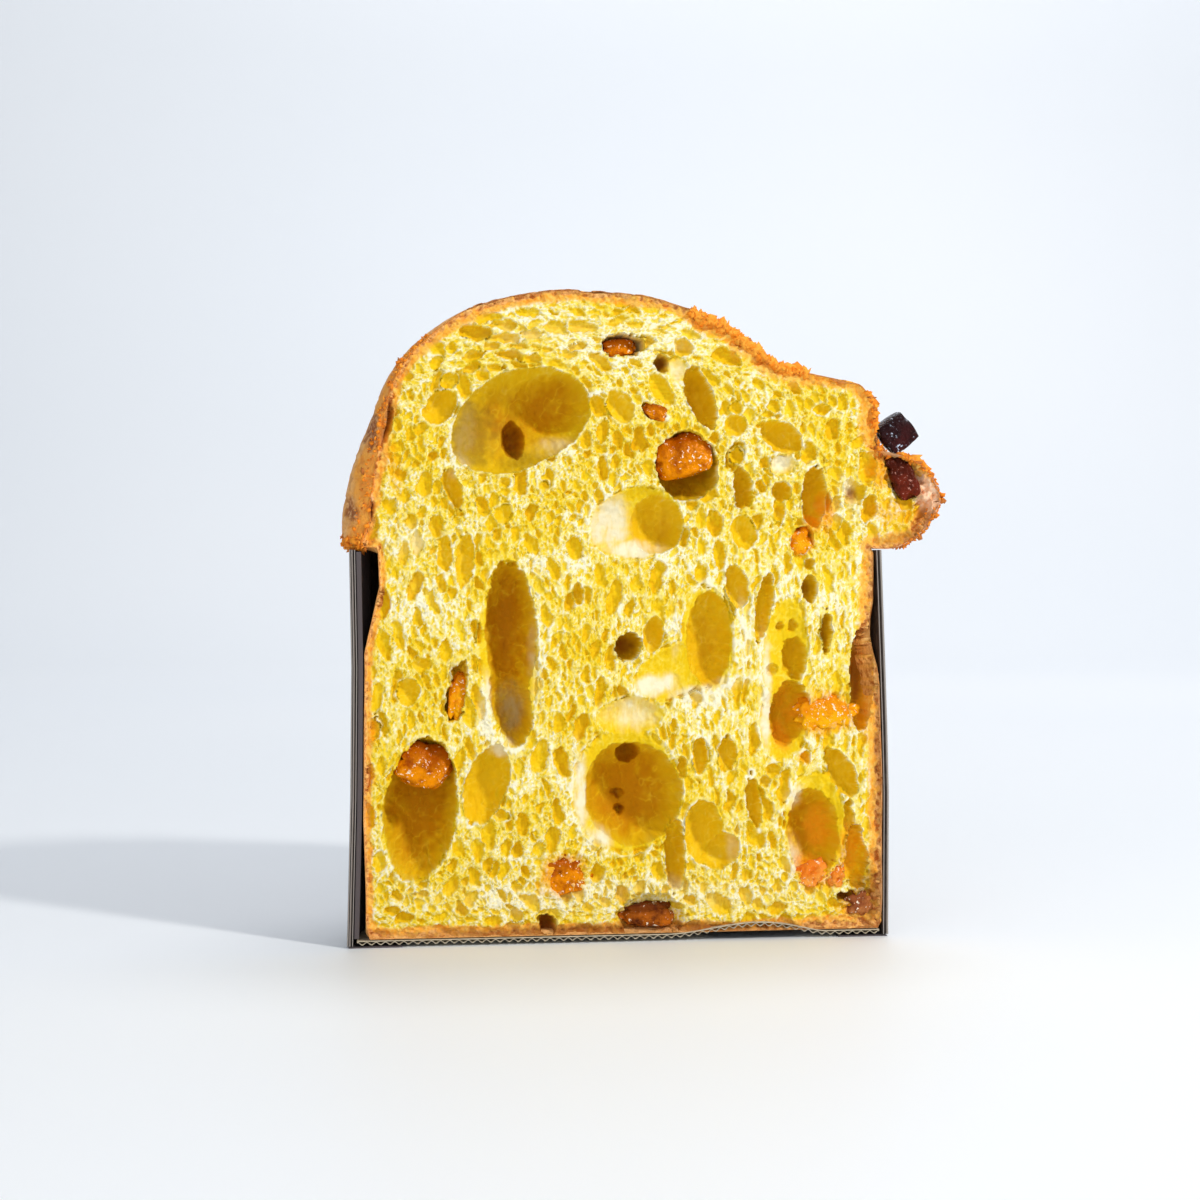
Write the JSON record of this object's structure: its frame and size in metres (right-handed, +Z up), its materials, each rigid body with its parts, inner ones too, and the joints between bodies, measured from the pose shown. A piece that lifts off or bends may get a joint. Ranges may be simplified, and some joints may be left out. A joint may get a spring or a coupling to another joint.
{
  "type": "panettone half",
  "caption": "Tall domed sweet bread with candied fruit, halved from top to base, in its dark paper baking case.",
  "frame": {"origin": "middle of the bounding box, at the bottom: on the table, half the depth behind the cut face", "axes": "+Z up along the axis of the round case, -Y out of the cut face, +X to the right as one looks at the cut face, towards the larger overhang"},
  "size_m": [0.1888, 0.0956, 0.2009],
  "materials": {
    "crumb": "matte open crumb, browned crust",
    "candied_peel": "glossy",
    "baked_raisin": "glossy",
    "case_paper": "matte, greaseproof",
    "case_board": "matte"
  },
  "bodies": {
    "root": {"bread": "crumb", "case_wall": "case_paper", "case_overlap": "case_paper", "case_board": "case_board", "candied_orange_left": "candied_peel", "candied_orange_centre": "candied_peel", "candied_orange_top": "candied_peel", "candied_orange_small": "candied_peel", "candied_orange_streak": "candied_peel", "candied_orange_slot": "candied_peel", "candied_orange_right": "candied_peel", "candied_orange_base": "candied_peel", "raisin_base": "baked_raisin", "raisin_crust": "baked_raisin", "raisin_crust_low": "baked_raisin", "candied_apricot_low": "candied_peel", "candied_apricot_mid": "candied_peel", "candied_apricot_corner": "candied_peel"}
  },
  "joints": []
}
